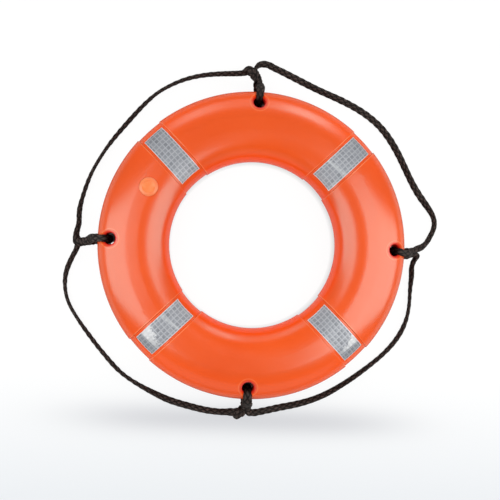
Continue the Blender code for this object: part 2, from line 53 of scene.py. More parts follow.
# Sizes of the ring
RING_RADIUS = 0.305
SECTION_CENTRE = 0.235
HALF_WIDTH = 0.070
RING_DEPTH = 0.096
MID_HEIGHT = RING_DEPTH / 2
FACE_LAND_WIDTH = 0.027
SECTION_POWER = 2.2
LAND_SHARE = (FACE_LAND_WIDTH / 2 / HALF_WIDTH) ** SECTION_POWER
HALF_DEPTH = MID_HEIGHT / (1 - LAND_SHARE) ** (1 / SECTION_POWER)
LAND_ANGLE = acos((FACE_LAND_WIDTH / 2 / HALF_WIDTH) ** (SECTION_POWER / 2))
LAND_BLEND = 0.0003
BAND_ANGLES = [radians(45 + 90 * k) for k in range(4)]
RECESS_WIDTH = 0.056
RECESS_DEPTH = 0.002
STEP_INSIDE = 0.0010
STEP_OUTSIDE = 0.0004
SEAM_RISE = 0.00022
SEAM_SPREAD = 0.0007
TAPE_WIDTH = 0.045
TAPE_LENGTH = 0.113
TAPE_THICKNESS = 0.0006
TAPE_GAP = 0.0003
TAPE_BORDER = 0.0012
CELL_PITCH = 0.0085
CELL_SINK = 0.00016
CELL_FACE_HALF = 0.29
CELL_MARKS = (0.17, 0.25, 0.50, 0.75, 0.83)
HOLE_CIRCLE = 0.278
HOLE_RADIUS = 0.0115
HOLE_LIP_RADIUS = 0.0055
HOLE_SKIRT = 0.004
HOLE_SKIRT_RISE = 0.0005
HOLE_SIDES = 64
LIP_STEPS = 9
FILLER_CIRCLE = 0.2308
FILLER_ANGLE = radians(153.8)
FILLER_RADIUS = 0.011
FILLER_SIDES = 72
SEAT_HEIGHT = RING_DEPTH - 0.0014
SEAT_RADIUS = 0.01855
BOSS_HEIGHT = RING_DEPTH - 0.0055
BORE_DEPTH = 0.0137
CUTTER_RISE = 0.01
PLUG_GAP = 0.0003
FLANGE_RADIUS = 0.01825
FLANGE_THICKNESS = 0.0026
CROWN_RISE = 0.0009
PANEL_RADIUS = 0.0120
PLUG_WALL = 0.0022
PLUG_REACH = 0.0125

# Mesh of the shell: columns between two recess bands, offsets of the columns in a band, and heights of
# the rows beside the parting line
PLAIN_COLUMNS = 38
BAND_COLUMNS = (0.0255, 0.0225, 0.0150, 0.0075)
SEAM_ROWS = (0.0, 0.0003, 0.0006, 0.0010, 0.0015, 0.0022)

# Sizes of the grab line: a flattened hollow braid
ROPE_REST_HEIGHT = 0.00535
CAD_ROPE_RADIUS = 0.00525
ROPE_WIDTH = 0.0148
ROPE_THICKNESS = 0.0072
ROPE_POWER = 2.2
ROPE_FREE_HEIGHT = 0.008
TURN_BLUR = 0.004
FLOOR_GAP = 0.0001
RIM_REACH = 0.0043
BORE_SHIFT = 0.0038
NECK_SPACING = 0.0041
NECK_SLOPE = radians(20)
NECK_START = 0.0175
NECK_START_HEIGHT = 0.0305
NECK_STEP = 4.2
NECK_ENTRY = [(0.0148, 0, 0.0415), (0.0112, 0, 0.0500), (0.0082, 0, 0.0595), (0.0042, 0, 0.0690)]
NECK_RETURN = [(0.0005, 0, 0.0174), (0.0085, 0, 0.0218)]
CURVE_STEPS = 24
STRANDS = 4
BRAID_PITCH = 0.060
BRAID_SIDES = 48
BRAID_RELIEF = 0.0013
STRAND_ROUNDING = 0.62
STRAND_CROSSING = 0.38
SETS_APART = 300
LEAN_KEPT = 0.004
LEAN_FADE = 0.026
TAIL_BULK = (1.06, 1.1)
TAIL_END_SHARE = 0.55
TAIL_END_LENGTH = 0.55

# Light. Mirror rays see the white surroundings at a share, because at full strength they turn the
# orange shell pink. The three pale spots are where the photograph shows the floor past the rope.
MIRRORED_SHARE = 0.12
SHOWN_THROUGH = ((-0.2810, -0.0068), (0.0156, 0.2881), (0.2922, 0.0103))
FLOOR_REACH = 6.0
WORLD_GLOW = 0.16
LIGHT_COLOUR = (1.0, 0.995, 0.94)
RING_MIDDLE = (0, 0, 0.05)

# Place, target, both sides and watts of each light
LIGHTS = {
    "left_softbox": ((-0.90, -0.14, 0.80), (-0.286, -0.14, 0.011), 0.86, 1.40, 11.7),
    "right_softbox": ((0.86, -0.13, 0.80), (0.246, -0.13, 0.011), 0.81, 1.40, 11.8),
    "back_right_softbox": ((0.62, 1.47, 0.92), RING_MIDDLE, 0.55, 0.75, 4.4),
    "back_left_softbox": ((-0.60, 1.48, 0.92), RING_MIDDLE, 0.50, 0.70, 1.7),
    "back_fill": ((0, 1.9, 1.00), RING_MIDDLE, 3.0, 1.1, 11.0),
    "front_fill": ((0, -1.9, 0.80), RING_MIDDLE, 3.0, 1.1, 6.0),
}


def between(first, last, count):
    return [first + (last - first) * k / count for k in range(count + 1)]


def eased(share):
    return share * share * (3 - 2 * share)


def unit(v):
    return v / np.linalg.norm(v, axis=-1, keepdims=True)


def polar(radius, angle, height=0.0):
    return radius * cos(angle), radius * sin(angle), height


def quads(ids):
    """Faces between the rows and columns of a grid of point numbers."""
    corners = (ids[:-1, :-1], ids[1:, :-1], ids[1:, 1:], ids[:-1, 1:])
    return np.stack(corners, axis=-1).reshape(-1, 4).tolist()


def add_object(name, data):
    item = bpy.data.objects.new(name, data)
    bpy.context.scene.collection.objects.link(item)
    return item


def smooth(mesh, crease):
    """Smooth shading, but sharp where the faces turn by more than the crease, in degrees."""
    mesh.shade_smooth()
    mesh.set_sharp_from_angle(angle=radians(crease))


def stand_for(piece, node, material):
    """The piece takes the place of a node of the frame, in its own material."""
    piece.data.materials.append(material)
    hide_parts(node)
    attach(piece, "root")


# Camera

def make_camera():
    back = CAMERA_BACK.normalized()
    right = CAMERA_UP.cross(back).normalized()
    turn = Matrix((right, back.cross(right), back)).transposed()
    data = bpy.data.cameras.new("photo_camera")
    data.sensor_width = CAMERA_SENSOR
    data.lens = CAMERA_LENS
    data.clip_start, data.clip_end = 0.01, 50
    camera = add_object("photo_camera", data)
    camera.matrix_world = Matrix.Translation(CAMERA_PLACE) @ turn.to_4x4()
    bpy.context.scene.camera = camera


make_camera()


# Node materials

class Nodes:
    """A short way to write the nodes of a material or of the world."""

    def __init__(self, owner):
        owner.use_nodes = True
        self.owner = owner
        self.tree = owner.node_tree
        self.colour = None

    def put(self, socket, value):
        if isinstance(value, bpy.types.NodeSocket):
            self.tree.links.new(value, socket)
        else:
            socket.default_value = value

    def node(self, kind, inputs=(), **settings):
        made = self.tree.nodes.new("ShaderNode" + kind)
        for key, value in settings.items():
            setattr(made, key, value)
        for key, value in dict(inputs).items():
            self.put(made.inputs[key], value)
        return made.outputs[0]

    def parts(self, vector):
        return list(self.node("SeparateXYZ", {"Vector": vector}).node.outputs)

    def math(self, operation, first, *others):
        """One operation, repeated where there are more than two values."""
        for other in others or (0.0,):
            first = self.node("Math", {0: first, 1: other}, operation=operation)
        return first

    def times(self, *values):
        return self.math('MULTIPLY', *values)

    def plus(self, *values):
        return self.math('ADD', *values)

    def off(self, value, middle=0.0):
        """How far a value is from the middle, either way."""
        return self.math('ABSOLUTE', self.math('SUBTRACT', value, middle))

    def off_cell(self, value):
        """How far a value is from the middle of its cell, one unit long."""
        return self.off(self.math('FRACT', value), 0.5)

    def distance(self, x, y, middle=(0.0, 0.0)):
        a, b = (self.off(value, at) for value, at in zip((x, y), middle))
        return self.math('SQRT', self.plus(self.times(a, a), self.times(b, b)))

    def from_rope_hole(self, x, y):
        """Distance from the axis of the nearest rope hole."""
        near, far = (self.math(way, self.off(x), self.off(y)) for way in ('MINIMUM', 'MAXIMUM'))
        return self.distance(near, far, (0.0, HOLE_CIRCLE))

    def spread(self, value, low, high, first=0.0, last=1.0):
        """From low to high while the value goes from first to last."""
        return self.node("MapRange", {"Value": value, "From Min": first, "From Max": last, "To Min": low,
                                      "To Max": high})

    def rise(self, value, nothing_at, full_at, full=1.0):
        return self.spread(value, 0.0, full, nothing_at, full_at)

    def noise(self, vector, scale, detail=2.0, roughness=0.5):
        """Noise at one scale, or at a scale for each axis."""
        if isinstance(scale, tuple):
            vector = self.node("Mapping", {"Vector": vector, "Scale": scale})
            scale = 1.0
        return self.node("TexNoise", {"Vector": vector, "Scale": scale, "Detail": detail,
                                      "Roughness": roughness})

    def cells(self, vector, scale):
        return self.node("TexVoronoi", {"Vector": vector, "Scale": scale})

    def mix(self, share, first, second):
        first, second = ((*c, 1.0) if isinstance(c, tuple) else c for c in (first, second))
        made = self.node("Mix", {0: share, 6: first, 7: second}, data_type='RGBA')
        return made.node.outputs[2]

    def paint(self, share, tint):
        """Lays a tint over the colour, at a share of its strength."""
        self.colour = self.mix(share, self.colour, tint)

    def bump(self, height, distance, under=None):
        inputs = {"Height": height, "Distance": distance, "Strength": 1.0}
        if under is not None:
            inputs["Normal"] = under
        return self.node("Bump", inputs)

    def finish(self, **values):
        """Puts the colour and the values on the shader, and returns the material."""
        for key, value in {"Base_Color": self.colour, **values}.items():
            self.put(self.tree.nodes["Principled BSDF"].inputs[key.replace("_", " ")], value)
        return self.owner


def new_material(name):
    """The nodes of a new material, the place on the piece, and its x, y and z."""
    n = Nodes(bpy.data.materials.new(name))
    place = n.node("TexCoord").node.outputs["Object"]
    return n, place, n.parts(place)


def orange_shell():
    deep, pale, bloomed = (0.695, 0.0665, 0.0020), (0.735, 0.0765, 0.0034), (0.80, 0.115, 0.028)
    # Painted light for the outer and inner flanks
    outer_flank_painted_light, inner_flank_painted_light = (0.96, 0.088, 0.001), (0.92, 0.066, 0.001)
    # A pale painted highlight, and painted shade for the rope holes
    pale_painted_highlight, painted_hole_shade = (0.84, 0.200, 0.070), (0.66, 0.016, 0.010)
    n, place, (x, y, _) = new_material("moulded_orange_shell")
    from_axis = n.distance(x, y)
    n.colour = n.mix(n.rise(n.noise(place, 7.0, 3.0), 0.3, 0.7), deep, pale)
    bloom = n.noise(place, (16, 16, 30), 2.0, 0.4)
    n.paint(n.rise(bloom, 0.45, 0.75, 0.10), bloomed)

    # Painted light on the flanks, where the photograph has less shade: a brighter, stronger colour, and
    # less shine
    outer = n.times(n.rise(from_axis, 0.252, 0.298), n.rise(n.off(y), 0.13, 0.24))
    inner = n.times(n.rise(from_axis, 0.215, 0.192), n.rise(n.off(y), 0.09, 0.15))
    n.paint(outer, outer_flank_painted_light)
    n.paint(n.rise(from_axis, 0.182, 0.166), inner_flank_painted_light)
    dull = n.math('MAXIMUM', outer, inner)

    # A painted highlight: a pale line along the edges of the recess bands, broken into patches
    from_band = n.times(n.math('MINIMUM', n.off(x, y), n.off(n.plus(x, y))), sqrt(0.5))
    from_edge = n.off(from_band, RECESS_WIDTH / 2 + 0.0009)
    patches = n.spread(n.noise(place, 18.0, 1.0), 0.15, 0.75, 0.35, 0.60)
    n.paint(n.times(n.rise(from_edge, 0.0012, 0.0005), patches), pale_painted_highlight)

    # Painted shade: a deeper colour in the rope holes; and a painted highlight: a pale ring on each lip
    from_hole = n.from_rope_hole(x, y)
    n.paint(n.rise(from_hole, 0.0175, 0.0130, 0.9), painted_hole_shade)
    n.paint(n.rise(n.off(from_hole, 0.0187), 0.0014, 0.0003, 0.45), pale_painted_highlight)

    waves = n.bump(n.noise(place, 26.0, 1.0), 0.00010)
    return n.finish(Roughness=n.spread(n.noise(place, 60.0, 3.0), 0.23, 0.27, 0.3, 0.7),
                    Specular_IOR_Level=n.spread(dull, 0.82, 0.52), Specular_Tint=(0.4, 1.0, 1.0, 1.0),
                    Normal=n.bump(n.noise(place, 330.0), 0.000015, under=waves))


def pale_plug():
    deep, pale, flange = (0.78, 0.165, 0.032), (0.83, 0.235, 0.075), (0.82, 0.205, 0.072)
    n, place, (x, y, _) = new_material("pale_orange_plug")
    cloud = n.noise(place, 120.0, 3.0)
    n.colour = n.mix(n.rise(cloud, 0.35, 0.65), deep, pale)
    from_middle = n.distance(x, y, polar(FILLER_CIRCLE, FILLER_ANGLE))
    n.paint(n.rise(from_middle, PANEL_RADIUS, 1.1 * PANEL_RADIUS), flange)
    return n.finish(Roughness=n.spread(cloud, 0.26, 0.36, 0.3, 0.7),
                    Normal=n.bump(n.noise(place, 420.0), 0.00004), Subsurface_Weight=0.25,
                    Subsurface_Radius=(0.006, 0.002, 0.001), Subsurface_Scale=1.0)


def silver_tape():
    dark, light, border = (0.180, 0.190, 0.222), (0.455, 0.472, 0.525), (0.58, 0.60, 0.65)
    bare, creased = (0.61, 0.62, 0.66), (0.66, 0.68, 0.72)
    n, place, (x, y, _) = new_material("silver_reflective_tape")

    # Across and along the tape, in cells from its middle
    u, v, _ = n.parts(n.node("UVMap", uv_map="tape"))
    cell = n.times(*(n.rise(n.off_cell(value), 0.46, 0.32) for value in (u, v)))
    corner = n.node("CombineXYZ", {0: n.math('FLOOR', u), 1: n.math('FLOOR', v)})
    chance = n.node("TexWhiteNoise", {"Vector": corner})
    depth = n.times(cell, n.spread(chance, 0.55, 1.0), -0.62)
    cloud = n.spread(n.noise(place, 55.0), -0.05, 0.05, 0.3, 0.7)
    grain = n.cells(place, 1500.0)
    n.colour = n.mix(n.plus(depth, 0.62, cloud, n.spread(grain, -0.1, 0.1)), dark, light)
    edges = (n.math('GREATER_THAN', n.off(value), (size / 2 - TAPE_BORDER) / CELL_PITCH)
             for value, size in ((u, TAPE_WIDTH), (v, TAPE_LENGTH)))
    n.paint(n.math('MAXIMUM', *edges), border)

    # A jagged patch near the outer end of the lower tapes, where the film has lifted
    side = n.times(u, n.math('SIGN', x))
    jagged = n.spread(n.noise(place, (150, 150, 50), 4.0, 0.7), -1.1, 1.1, 0.25, 0.75)
    start = n.plus(3.25, n.times(n.math('SIGN', x), 0.3), n.times(side, -0.36), jagged)
    end = n.plus(4.75, n.times(side, 0.06))
    lifted = n.times(n.rise(n.math('SUBTRACT', v, start), 0.0, 0.12),
                     n.rise(n.math('SUBTRACT', end, v), 0.0, 0.10),
                     n.math('LESS_THAN', y, 0.0), n.spread(side, 0.45, 0.9, -2.0, 1.2))
    n.paint(lifted, bare)

    # A pale crease across two of the tapes
    from_crease = n.off(n.plus(v, n.times(u, 0.12)), -1.7)
    crease = n.times(n.rise(from_crease, 0.55, 0.15, 0.35), n.math('GREATER_THAN', n.times(x, y), 0.0))
    n.paint(crease, creased)
    return n.finish(Roughness=n.spread(chance, 0.40, 0.52), Metallic=0.30,
                    Coat_Weight=0.3, Coat_Roughness=0.25, Normal=n.bump(grain, 0.00006))


def black_rope():
    dark, light, faded = (0.0105, 0.0056, 0.0047), (0.084, 0.0615, 0.0570), (0.023, 0.0172, 0.0145)
    # Painted shade between the strands and inside the rope holes
    painted_gap_shade, painted_hole_shade = (0.0012, 0.0005, 0.0005), (0.0012, 0.0003, 0.0003)
    n, place, (x, y, z) = new_material("black_braided_rope")

    # Across and along the strands, in crossings of the braid
    strand = n.node("UVMap", uv_map="strand")
    across, run, _ = n.parts(strand)
    fibres = n.noise(strand, (3.4, 0.9, 1), 3.0, 0.65)
    yarns = n.noise(strand, (2.5, 0.8, 1), 1.0)
    n.colour = n.mix(n.rise(fibres, 0.3, 0.7), dark, light)
    n.paint(n.rise(n.noise(place, 45.0), 0.4, 0.7, 0.6), faded)
    # Painted shade in the gaps round each strand
    gap = n.math('MAXIMUM', n.rise(n.off_cell(across), 0.21, 0.42),
                 n.rise(n.off_cell(run), 0.28, 0.46, 0.92))
    n.paint(gap, painted_gap_shade)
    # Painted shade on the rope inside the rope holes, where it also shines less
    inside = n.times(n.rise(n.from_rope_hole(x, y), 0.0150, 0.0125, 0.65),
                     n.rise(n.off(z, MID_HEIGHT), 0.036, 0.022))
    n.paint(inside, painted_hole_shade)
    return n.finish(Roughness=n.spread(yarns, 0.45, 0.65, 0.3, 0.7),
                    Specular_IOR_Level=n.spread(inside, 0.15, 0.04, 0.0, 0.65),
                    Normal=n.bump(fibres, 0.00025, under=n.bump(yarns, 0.0003)))


def cream_foam():
    n, place, _ = new_material("cream_foam")
    pores = n.cells(place, 700.0)
    n.colour = n.mix(n.noise(place, 20.0, 4.0), (0.78, 0.66, 0.42), (0.88, 0.80, 0.60))
    return n.finish(Roughness=n.spread(pores, 0.8, 0.95), Normal=n.bump(pores, 0.0004))


# Width and thickness of a hitch's rope as shares of the free rope's, at distances in millimetres from
# the middle of the bore, positive towards the leg that crosses the front face

FREE_BEFORE, FREE_AFTER = (-118, 1, 1), (118, 1, 1)
IN_BORE = [(-40, 1.35, 1.0), (-24, 1.1, 1.3), (-10, 1.2, 2.0), (10, 1.2, 2.0)]
BACK_LEG = [(-104, 1.1, 1.2), (-92, 1.3, 1.6), (-72, 1.4, 1.45), (-58, 1.6, 1.2)]
FRONT_LEG = [(22, 1.05, 1.4), (34, 1.0, 1.1), (48, 1.1, 1.2), (62, 1.25, 1.35), (78, 1.3, 1.55),
             (92, 1.3, 1.6), (104, 1.1, 1.2)]

# Grab line routes, in millimetres. A hitch's points are out from the rim, along the rim
# counterclockwise, up from the floor, and the rope's width there as it shows from above. A span's
# points are x and y, where it lies on the floor, or x, y and up. A neck's lean is its shift along the
# rim, at distances out from the rim.

REST = ROPE_REST_HEIGHT / MM

HITCHES = {
    "top": {
        "angle": 90, "neck": 25, "twist": 150, "front_leg": "in",
        "lean": ((-20, 0), (0, -2.0), (14, -3.0), (30, 1), (50, 9.5)),
        "back_bulk": [(-104, 1.3, 1.3), (-94, 1.35, 1.5), (-84, 1.85, 1.5), (-72, 1.95, 1.3),
                      (-58, 1.6, 1.1)],
        "front_bulk": [*FRONT_LEG[:2], (48, 1.15, 1.2), (60, 1.3, 1.3), (72, 1.1, 1.45), (82, 0.95, 1.5),
                       (92, 0.95, 1.5), (104, 1.05, 1.3)],
        "in": [(61, -31, 7, 13.5), (65.5, -25, 7.5, 13.5), (67.5, -18.5, 8.5, 13.5),
               (66.5, -12, 9.5, 12.5), (62.5, -7, 10.5, 10), (57, -4, 11.5, 7.5), (51.5, -2.5, 13, 7.5),
               (46, -3, 16, 9)],
        "out": [(45.7, 8, 24.6, 14.8), (48.6, 12, 24.8, 14.8), (48.8, 18, 23.3, 13.5),
                (46, 24.5, 20.5, 11.5), (43.5, 31, 17.5, 10.6)]},
    "left": {
        "angle": 180, "neck": 24, "twist": 180, "front_leg": "out",
        "lean": ((-10, 0), (10, 0), (26, 6), (45, 7)),
        "in": [(41.5, -32, 17, 9.8), (42.5, -25, 20, 9.8), (44.5, -18, 23, 10), (45.5, -11, 25, 10.5),
               (43.5, -4.4, 26, 12)],
        "out": [(40.5, 3, 16.5, 12), (43.5, 9, 15.5, 10.5), (44.5, 16, 14.5, 10), (46.5, 24, 13.5, 9.8),
                (50.5, 32, 12, 9.6)]},
    "bottom": {
        "angle": 270, "neck": 13, "twist": -90, "front_leg": "out",
        "lean": ((0, 0), (10, 1.5)),
        "back_bulk": [*BACK_LEG[:2], (-72, 1.5, 1.45), BACK_LEG[3]],
        "front_bulk": [(22, 1.1, 1.4), (34, 1.2, 1.1), (48, 1.35, 1.2), (62, 1.5, 1.35), (78, 1.5, 1.5),
                       (92, 1.35, 1.6), (104, 1.1, 1.2)],
        "in": [(33.3, -52, 13.6, 12.6), (33.2, -45, 13.6, 12.8), (33.0, -38, 13.6, 13.2),
               (32.8, -31, 13.8, 13.8), (32.8, -24.5, 15.5, 14.4), (32.8, -19, 18.6, 14.8),
               (32, -13.4, 22.2, 14.8), (30.8, -9, 24.9, 14.8)],
        "out": [(30.8, 8.3, 22.5, 14.8), (32.4, 13.5, 18.3, 14.2), (32.6, 20.5, 15, 14.2),
                (31.4, 28, 12.5, 15)]},
    "right": {
        "angle": 0, "neck": 14, "twist": -90, "front_leg": "out",
        "lean": ((-26, 0), (-8, -4), (3, -7), (14, -3), (28, 0)),
        "back_bulk": [(-104, 0.9, 1.0), (-92, 1.0, 1.2), (-72, 1.35, 1.45), BACK_LEG[3]],
        "in": [(26, -36, 15.5, 10), (26, -29.5, 18, 9.5), (26.6, -23.5, 20.3, 9), (29, -17, 22.3, 8.5),
               (32.5, -10.5, 24, 8.5), (33.5, -5.5, 25, 10)],
        "out": [(35, 6.8, 22.3, 14.8), (40.5, 8.8, 19, 14), (46.5, 12, 16.5, 11.5), (52.5, 17, 14.3, 9.5),
                (58.5, 23.5, 12, 9)]},
}

TAIL = [(29, -3, 9.5), (24, -4.5, 14), (21.8, -6, 21), (24.5, -8, 29), (30.5, -11, 32), (36.5, -15, 28.5),
        (40.5, -18.5, 21), (42, -20.5, 14)]

# The spans in the order of the rope, each with the hitch that it leaves
SPANS = {
    "top_left": ("top", [
        (-54, 348, 12.5), (-80, 347, 7), (-106, 344), (-132, 338), (-157, 329), (-180, 317), (-202, 303),
        (-221, 285), (-239, 265), (-255, 245), (-271, 225), (-287, 204), (-302, 182), (-315, 159),
        (-327, 136), (-336, 111), (-343, 86), (-348, 63, 7.5), (-348.5, 46, 12)]),
    "bottom_left": ("left", [
        (-362, -46, 9), (-368.5, -62, 6), (-372, -82), (-370, -108), (-362, -132), (-348, -154),
        (-333, -175), (-317, -195), (-301, -215), (-284, -234), (-267, -253), (-248, -270), (-226, -284),
        (-204, -296), (-181, -307), (-157, -318), (-133, -325), (-107, -331, 6.5), (-79, -336.5, 11)]),
    "bottom_right": ("bottom", [
        (50, -332.5, 8), (73, -327), (98, -322), (123, -315), (147, -306), (170, -295), (192, -281),
        (213, -267), (233, -252), (253, -236), (273, -219), (291, -201), (307, -181), (320, -158),
        (328, -134), (331.5, -109), (331.5, -84), (332, -65, 7.5), (333, -50, 11.5)]),
    "top_right": ("right", [
        (369, 34, 8.5), (375, 44.5, 6), (378.5, 57), (377, 70), (371.5, 82.5), (357, 102), (341, 123),
        (327, 145), (315, 168), (303, 192), (290, 215), (275, 237), (258, 257), (237, 274), (215, 288),
        (191, 300), (167, 310), (142, 319), (117, 329), (93, 340), (70, 350.5), (48, 360, 6)]),
}

# Width that each span shows from above, in millimetres, at shares of its length. The flat braid
# turns about its own line, so it shows its whole width in some places and its edge in others.
SPAN_WIDTHS = {
    "top_left": [(0, 10.6), (.06, 9.4), (.13, 8.5), (.20, 7.8), (.27, 7.4), (.36, 6.9), (.42, 7.7),
                 (.47, 8.2), (.53, 8.7), (.60, 8.1), (.66, 7.6), (.70, 6.1), (.77, 7), (.84, 7.8),
                 (.90, 8), (.95, 10), (1, 9.7)],
    "bottom_left": [(0, 9.5), (.05, 9.9), (.10, 8.5), (.16, 7), (.22, 6.8), (.28, 7.1), (.36, 8), (.44, 8),
                    (.52, 8.6), (.58, 7.5), (.64, 8), (.69, 9.2), (.76, 12.3), (.80, 13.4), (.86, 13.5),
                    (.93, 13.2), (1, 12.6)],
    "bottom_right": [(0, 15.2), (.04, 15.2), (.12, 14), (.17, 13.4), (.22, 12), (.30, 11.2), (.37, 9.5),
                     (.44, 9.4), (.52, 8.3), (.60, 8), (.66, 8.6), (.73, 8.5), (.78, 7.4), (.83, 6.2),
                     (.92, 7.6), (1, 10.1)],
    "top_right": [(0, 9.5), (.06, 8.8), (.10, 8.8), (.14, 11.1), (.19, 14.6), (.24, 13.7), (.28, 12.2),
                  (.34, 12.9), (.41, 14), (.48, 14.5), (.54, 15.2), (.66, 15), (.71, 14.3), (.76, 12.9),
                  (.82, 13), (.88, 14.2), (.94, 14.4), (1, 12.3)],
}


# Ring section and the rope holes' lips

def slope_along(value, half):
    """One part of the section's outward direction, at a value from its centre."""
    return copysign(abs(value / half) ** (SECTION_POWER - 1), value) / half


def superellipse(turn, inset):
    """Point of the ring's section from its centre, inset along its normal."""
    halves = (HALF_WIDTH, HALF_DEPTH)
    x, z = (half * copysign(abs(share) ** (2 / SECTION_POWER), share)
            for half, share in zip(halves, (cos(turn), sin(turn))))
    slope_x, slope_z = map(slope_along, (x, z), halves)
    length = hypot(slope_x, slope_z)
    return x - inset * slope_x / length, z - inset * slope_z / length


def flattened(z, inset):
    """The face land: height from the middle, eased off where the section rises above the land."""
    over = abs(z) - (MID_HEIGHT - inset)
    return copysign(abs(z) - (over + hypot(over, LAND_BLEND)) / 2, z)


def section_point(turn, inset):
    """Radius and height of a point of the section, with its parting line."""
    x, z = superellipse(turn, inset)
    z = flattened(z, inset)
    seam = SEAM_RISE * exp(-(z / SEAM_SPREAD) ** 2)
    return SECTION_CENTRE + x + copysign(seam, x), MID_HEIGHT + z


def face_height(x, y):
    out = min(abs(hypot(x, y) - SECTION_CENTRE) / HALF_WIDTH, 1.0)
    rise = HALF_DEPTH * (1 - out ** SECTION_POWER) ** (1 / SECTION_POWER)
    return MID_HEIGHT + flattened(rise, 0.0)


def lip_profile(direction):
    """Lip arc from the bore wall to the face, in one upright plane through the hole's axis."""
    dx, dy = cos(direction), sin(direction)
    reach = [HOLE_RADIUS * 0.6 + 0.0002 * k for k in range(110)]
    points = [(s, face_height(HOLE_CIRCLE + s * dx, s * dy)) for s in reach
              if hypot(HOLE_CIRCLE + s * dx, s * dy) < RING_RADIUS]
    centre = HOLE_RADIUS + HOLE_LIP_RADIUS

    # The arc's middle lies as high as the first point of the face that it touches allows
    up, touch_s, touch_z = min((z - sqrt(HOLE_LIP_RADIUS ** 2 - (s - centre) ** 2), s, z)
                               for s, z in points if abs(s - centre) < HOLE_LIP_RADIUS)
    end = atan2(touch_z - up, touch_s - centre)
    arc = [(centre + HOLE_LIP_RADIUS * cos(a), up + HOLE_LIP_RADIUS * sin(a))
           for a in between(pi, end, LIP_STEPS)]
    skirt = (arc[-1][0] + HOLE_SKIRT * sin(end) + HOLE_SKIRT_RISE * cos(end),
             arc[-1][1] - HOLE_SKIRT * cos(end) + HOLE_SKIRT_RISE * sin(end))
    return arc + [skirt, (skirt[0], RING_DEPTH + CUTTER_RISE)]


# Grab line: one loop through the four rope holes, cut where each hitch meets its two spans

def neck_leg(hitch, phase, share):
    """Place and width direction on one of the neck's two legs, which turn round each other."""
    turn = radians(90 + phase + hitch["twist"] * share)
    along, side = hitch["neck"] * MM * share, NECK_SPACING * sin(turn)
    down, level = sin(NECK_SLOPE), cos(NECK_SLOPE)
    place = (NECK_START + along * level + side * down, NECK_SPACING * cos(turn),
             NECK_START_HEIGHT - along * down + side * level)
    return place, (cos(turn) * down, -sin(turn), cos(turn) * level)


def leaned(point, lean):
    """The point moved along the rim where the neck leans, in metres."""
    out, side, up = point
    near = 1 - min(max((abs(side) - LEAN_KEPT) / LEAN_FADE, 0), 1)
    return out, side + MM * float(np.interp(out / MM, *zip(*lean))) * eased(near), up


def rim_route():
    """From the neck over the front lip, through the hole and out again over the back lip."""
    turn_radius = HOLE_LIP_RADIUS + RIM_REACH
    centre_out = HOLE_CIRCLE + HOLE_RADIUS - RING_RADIUS + HOLE_LIP_RADIUS
    centre_up = lip_profile(0.0)[0][1]
    over, under = ([(centre_out + turn_radius * cos(a), 0, centre_up + turn_radius * sin(a))
                    for a in turns] for turns in (between(radians(45), pi, 6),
                                                  between(pi, radians(80), 4)))
    through = [(centre_out - turn_radius - BORE_SHIFT, 0, z)
               for z in between(centre_up, RING_DEPTH - centre_up, 4)[1:-1]]
    under = [(out, 0, RING_DEPTH - up) for out, _, up in under]
    return [(point, (0, 1, 0)) for point in [*NECK_ENTRY, *over, *through, *under, *NECK_RETURN]]


def hitch_points(hitch):
    """Places and width directions of a hitch, from the span that comes in to the one that goes out."""
    shares = between(0, 1, round(hitch["neck"] / NECK_STEP))
    front_in = hitch["front_leg"] == "in"
    phase_in, phase_out = (0, 180) if front_in else (180, 0)
    rim = rim_route() if front_in else rim_route()[::-1]
    leg_in = [neck_leg(hitch, phase_in, share) for share in reversed(shares)]
    leg_out = [neck_leg(hitch, phase_out, share) for share in shares]
    start, end = ([((out * MM, side * MM, up * MM), shown) for out, side, up, shown in hitch[way]]
                  for way in ("in", "out"))
    route = start + leg_in + rim + leg_out + end
    return [(leaned(point, hitch["lean"]), hint) for point, hint in route]


def to_world(points, angle):
    turn = Matrix.Rotation(radians(angle), 3, 'Z')
    return [(turn @ Vector((RING_RADIUS + out, side, up)), turn @ Vector(w) if isinstance(w, tuple) else w)
            for (out, side, up), w in points]


def smooth_curve(points):
    """Dense points on a smooth curve drawn by the route's points."""
    p = np.array(points, float)
    t = (np.arange(CURVE_STEPS) / CURVE_STEPS)[None, :, None]
    p0, p1, p2, p3 = (p[k:len(p) - 3 + k, None] for k in range(4))
    made = (p0 * (1 - t) ** 3 + p1 * (3 * t ** 3 - 6 * t ** 2 + 4)
            + p2 * (1 + 3 * t + 3 * t ** 2 - 3 * t ** 3) + p3 * t ** 3) / 6
    made = made.reshape(-1, 3)
    made[:, 2] = np.maximum(made[:, 2], ROPE_REST_HEIGHT)
    return made


def distances(line):
    return np.concatenate([[0.0], np.cumsum(np.linalg.norm(np.diff(line, axis=0), axis=1))])


def tangents(line):
    return unit(np.gradient(line, axis=0))


def mirrored(v, normal):
    """The vector mirrored by the plane across a normal, or as it was where the normal is nothing."""
    size = normal @ normal
    return v - normal * (2 / size) * (normal @ v) if size > 1e-18 else v


def carried_frames(line, along):
    """Side directions carried along a line without turning about it."""
    side = np.cross(along[0], (0, 0, 1))
    if np.linalg.norm(side) < 0.1:
        side = np.array((1.0, 0, 0))
    sides = [unit(side - along[0] * (side @ along[0]))]
    for k in range(1, len(line)):
        step = line[k] - line[k - 1]
        turn = along[k] - mirrored(along[k - 1], step)
        side = mirrored(mirrored(sides[-1], step), turn)
        sides.append(unit(side - along[k] * (side @ along[k])))
    return np.array(sides)


